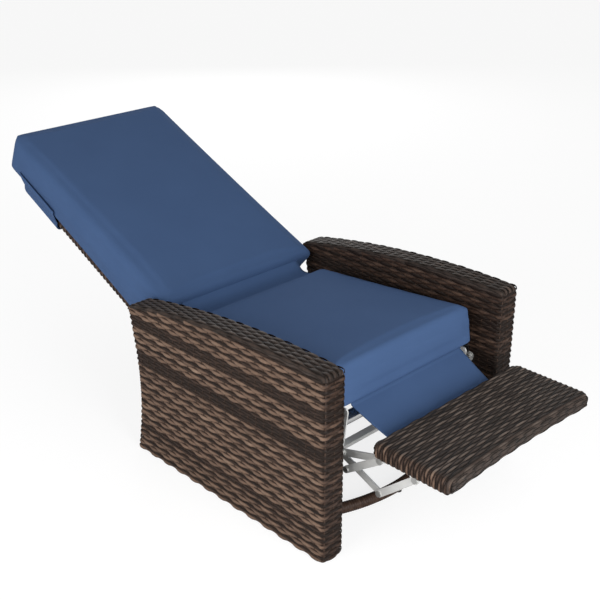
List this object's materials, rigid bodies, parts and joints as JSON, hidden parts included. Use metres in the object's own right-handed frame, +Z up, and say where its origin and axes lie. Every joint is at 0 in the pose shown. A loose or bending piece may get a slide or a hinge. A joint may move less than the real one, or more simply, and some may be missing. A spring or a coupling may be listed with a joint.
{
  "type": "reclining garden armchair",
  "caption": "Reclining garden armchair with woven wicker arms, navy cushions, a reclining back and a folding footrest on flat steel lazy-tongs links.",
  "frame": {"origin": "on the floor, under the middle of the whole chair in plan", "axes": "+X is the sitter's left, +Y runs from the footrest to the back, +Z is up"},
  "size_m": [0.707, 1.7066, 0.7373],
  "materials": {
    "wicker": "satin",
    "cushion_fabric": "matte",
    "webbing": "matte",
    "glide_plastic": "matte",
    "frame_aluminium": "satin",
    "wrapped_tube": "satin",
    "coated_steel": "satin",
    "polished_tube": "polished",
    "zinc_fasteners": "satin"
  },
  "bodies": {
    "base": {"arm_frame_r": "frame_aluminium", "arm_frame_l": "frame_aluminium", "arm_weave_r": "wicker", "arm_weave_l": "wicker", "base_side_plate_r": "coated_steel", "base_side_plate_l": "coated_steel", "base_bolts": "zinc_fasteners", "base_rear_tube": "coated_steel", "base_mid_tube": "coated_steel", "bow_stretcher": "wrapped_tube", "bow_foot": "glide_plastic", "floor_glides": "glide_plastic", "seat_pivot_bolts": "zinc_fasteners"},
    "seat": {"seat_rail_r": "coated_steel", "seat_rail_l": "coated_steel", "linkage_plate_r": "coated_steel", "linkage_plate_l": "coated_steel", "tilt_arm_r": "coated_steel", "tilt_arm_l": "coated_steel", "guide_bracket_r": "coated_steel", "guide_bracket_l": "coated_steel", "seat_front_tube": "polished_tube", "seat_rear_tube": "coated_steel", "seat_straps": "webbing", "guide_pins": "zinc_fasteners", "back_hinge_bolts": "zinc_fasteners", "seat_cushion": "cushion_fabric", "cushion_bridge": "cushion_fabric"},
    "back": {"back_hinge_plate_r": "coated_steel", "back_hinge_plate_l": "coated_steel", "back_frame": "frame_aluminium", "back_weave": "wicker", "back_cushion": "cushion_fabric", "back_hood": "cushion_fabric"},
    "recline_links": {"recline_link_r": "coated_steel", "recline_link_l": "coated_steel", "recline_pins": "zinc_fasteners"},
    "drive_links": {"drive_link_r": "coated_steel", "drive_link_l": "coated_steel", "drive_cross_bar": "coated_steel", "drive_rivets": "zinc_fasteners"},
    "front_links": {"front_link_r": "coated_steel", "front_link_l": "coated_steel", "front_rivets": "zinc_fasteners"},
    "footrest": {"footrest_bracket_r": "coated_steel", "footrest_bracket_l": "coated_steel", "footrest_weave": "wicker", "footrest_frame": "frame_aluminium", "footrest_rivets": "zinc_fasteners", "footrest_screws": "zinc_fasteners"},
    "cross_links": {"cross_link_r": "coated_steel", "cross_link_l": "coated_steel", "brace_link_r": "coated_steel", "brace_link_l": "coated_steel", "cross_rivets": "zinc_fasteners"},
    "rear_links": {"rear_link_r": "coated_steel", "rear_link_l": "coated_steel", "rear_rivets": "zinc_fasteners"},
    "flap": {"front_flap": "cushion_fabric"}
  },
  "joints": [
    {"name": "seat_tilt", "type": "hinge", "parent": "base", "child": "seat", "pos_m": [0, 0.07292, 0.1804], "axis": [1, 0, 0], "range_deg": [0, 6]},
    {"name": "back_recline", "type": "hinge", "parent": "seat", "child": "back", "pos_m": [0, 0.05402, 0.2755], "axis": [1, 0, 0], "range_deg": [0, 39], "deforming": ["cushion_bridge"]},
    {"name": "recline_link_swing", "type": "hinge", "parent": "base", "child": "recline_links", "pos_m": [0, 0.08334, 0.084], "axis": [1, 0, 0], "range_deg": [-20.13, 0]},
    {"name": "footrest_fold", "type": "hinge", "parent": "seat", "child": "drive_links", "pos_m": [0, -0.48918, 0.2286], "axis": [1, 0, 0], "range_deg": [0, 104.89]},
    {"name": "front_link_swing", "type": "hinge", "parent": "drive_links", "child": "front_links", "pos_m": [0, -0.62818, 0.171], "axis": [1, 0, 0], "range_deg": [-106.66, 0]},
    {"name": "footrest_swing", "type": "hinge", "parent": "front_links", "child": "footrest", "pos_m": [0, -0.73468, 0.262], "axis": [1, 0, 0], "range_deg": [0, 85.77]},
    {"name": "cross_link_swing", "type": "hinge", "parent": "footrest", "child": "cross_links", "pos_m": [0, -0.64458, 0.277], "axis": [1, 0, 0], "range_deg": [-113.94, 0]},
    {"name": "rear_link_swing", "type": "hinge", "parent": "seat", "child": "rear_links", "pos_m": [0, -0.45148, 0.2624], "axis": [1, 0, 0], "range_deg": [0, 99.85]},
    {"name": "flap_drop", "type": "hinge", "parent": "seat", "child": "flap", "pos_m": [0, -0.51178, 0.3449], "axis": [1, 0, 0], "range_deg": [0, 61.49]}
  ],
  "couplings": [
    {"joint": "seat_tilt", "follows": "back_recline", "ratio": 0.15385},
    {"joint": "recline_link_swing", "follows": "back_recline", "ratio": -0.51602},
    {"joint": "front_link_swing", "follows": "footrest_fold", "ratio": -1.0169},
    {"joint": "footrest_swing", "follows": "footrest_fold", "ratio": 0.81768},
    {"joint": "cross_link_swing", "follows": "footrest_fold", "ratio": -1.0862},
    {"joint": "rear_link_swing", "follows": "footrest_fold", "ratio": 0.95189},
    {"joint": "flap_drop", "follows": "footrest_fold", "ratio": 0.58623}
  ]
}
